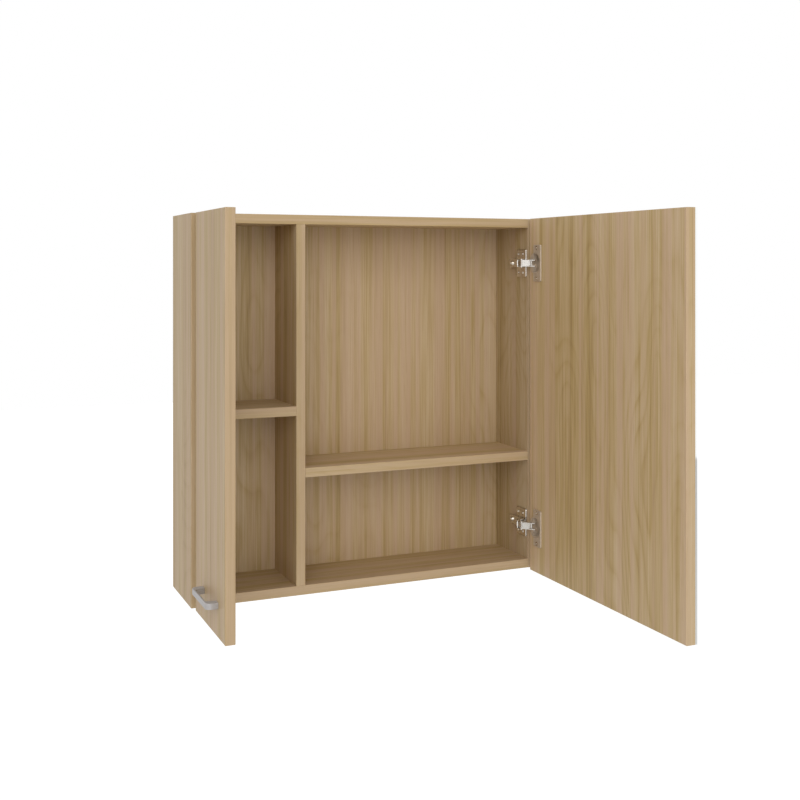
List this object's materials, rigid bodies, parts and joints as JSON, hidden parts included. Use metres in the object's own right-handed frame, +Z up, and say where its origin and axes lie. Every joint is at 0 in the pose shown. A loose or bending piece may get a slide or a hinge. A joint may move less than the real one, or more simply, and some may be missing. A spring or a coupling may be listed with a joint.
{
  "type": "wall-hung bathroom cabinet",
  "caption": "Wall-hung bathroom cabinet in oak decor with a narrow handled door, a wide mirror door, concealed cup hinges, divider and shelves.",
  "frame": {"origin": "on the wall plane, midway between the two keyhole hanger holes in the sides' rear edges", "axes": "+X to the right seen from the room, +Y into the wall, +Z up"},
  "size_m": [0.6143, 0.567, 0.6],
  "materials": {
    "oak_decor": "light oak decor, satin",
    "beech": "plain, matt",
    "mirror": "silvered glass, ground edges",
    "zinc_plated_steel": "zinc plated",
    "satin_handle": "satin nickel",
    "nickel_plated_steel": "nickel plated"
  },
  "bodies": {
    "cabinet": {"dowels": "beech", "cam_bolts": "zinc_plated_steel", "cam_locks": "zinc_plated_steel", "divider_screws": "zinc_plated_steel", "hanger_screws": "zinc_plated_steel", "hanger_plates": "zinc_plated_steel", "left_hinge_plates": "nickel_plated_steel", "left_hinge_plate_screws": "nickel_plated_steel", "left_hinge_arms": "nickel_plated_steel", "left_hinge_arm_screws": "nickel_plated_steel", "left_hinge_arm_pins": "nickel_plated_steel", "right_hinge_plates": "nickel_plated_steel", "right_hinge_plate_screws": "nickel_plated_steel", "right_hinge_arms": "nickel_plated_steel", "right_hinge_arm_screws": "nickel_plated_steel", "right_hinge_arm_pins": "nickel_plated_steel", "left_side_panel": "oak_decor", "right_side_panel": "oak_decor", "divider_panel": "oak_decor", "top_panel": "oak_decor", "bottom_panel": "oak_decor", "left_shelf": "oak_decor", "right_shelf": "oak_decor", "back_panel": "oak_decor"},
    "left_front_links": {"left_hinge_front_links": "nickel_plated_steel"},
    "left_rear_links": {"left_hinge_rear_links": "nickel_plated_steel"},
    "left_door": {"left_hinge_cups": "nickel_plated_steel", "left_hinge_cup_pins": "nickel_plated_steel", "left_hinge_cup_screws": "nickel_plated_steel", "left_door_panel": "oak_decor", "door_handle": "satin_handle", "handle_screws": "zinc_plated_steel"},
    "right_front_links": {"right_hinge_front_links": "nickel_plated_steel"},
    "right_rear_links": {"right_hinge_rear_links": "nickel_plated_steel"},
    "right_door": {"right_hinge_cups": "nickel_plated_steel", "right_hinge_cup_pins": "nickel_plated_steel", "right_hinge_cup_screws": "nickel_plated_steel", "right_door_panel": "oak_decor", "mirror_plate": "mirror"}
  },
  "joints": [
    {"name": "left_front_link_turn", "type": "hinge", "parent": "cabinet", "child": "left_front_links", "pos_m": [-0.2672, -0.1386, -0.255], "axis": [0, 0, -1], "range_deg": [-2.81, 50.37]},
    {"name": "left_rear_link_turn", "type": "hinge", "parent": "cabinet", "child": "left_rear_links", "pos_m": [-0.2666, -0.1264, -0.255], "axis": [0, 0, -1], "range_deg": [-2.35, 42.03]},
    {"name": "left_door_swing", "type": "hinge", "parent": "left_front_links", "child": "left_door", "pos_m": [-0.28422, -0.1532, -0.255], "axis": [0, 0, -1], "range_deg": [-140.36, 7.8]},
    {"name": "right_front_link_turn", "type": "hinge", "parent": "cabinet", "child": "right_front_links", "pos_m": [0.2672, -0.1386, -0.255], "axis": [0, 0, 1], "range_deg": [-2.81, 50.37]},
    {"name": "right_rear_link_turn", "type": "hinge", "parent": "cabinet", "child": "right_rear_links", "pos_m": [0.2666, -0.1264, -0.255], "axis": [0, 0, 1], "range_deg": [-2.35, 42.03]},
    {"name": "right_door_swing", "type": "hinge", "parent": "right_front_links", "child": "right_door", "pos_m": [0.28422, -0.1532, -0.255], "axis": [0, 0, 1], "range_deg": [-140.36, 7.8]}
  ],
  "couplings": [
    {"joint": "left_front_link_turn", "follows": "left_door_swing", "ratio": -0.35881},
    {"joint": "left_rear_link_turn", "follows": "left_door_swing", "ratio": -0.2994},
    {"joint": "right_front_link_turn", "follows": "right_door_swing", "ratio": -0.35881},
    {"joint": "right_rear_link_turn", "follows": "right_door_swing", "ratio": -0.2994}
  ]
}
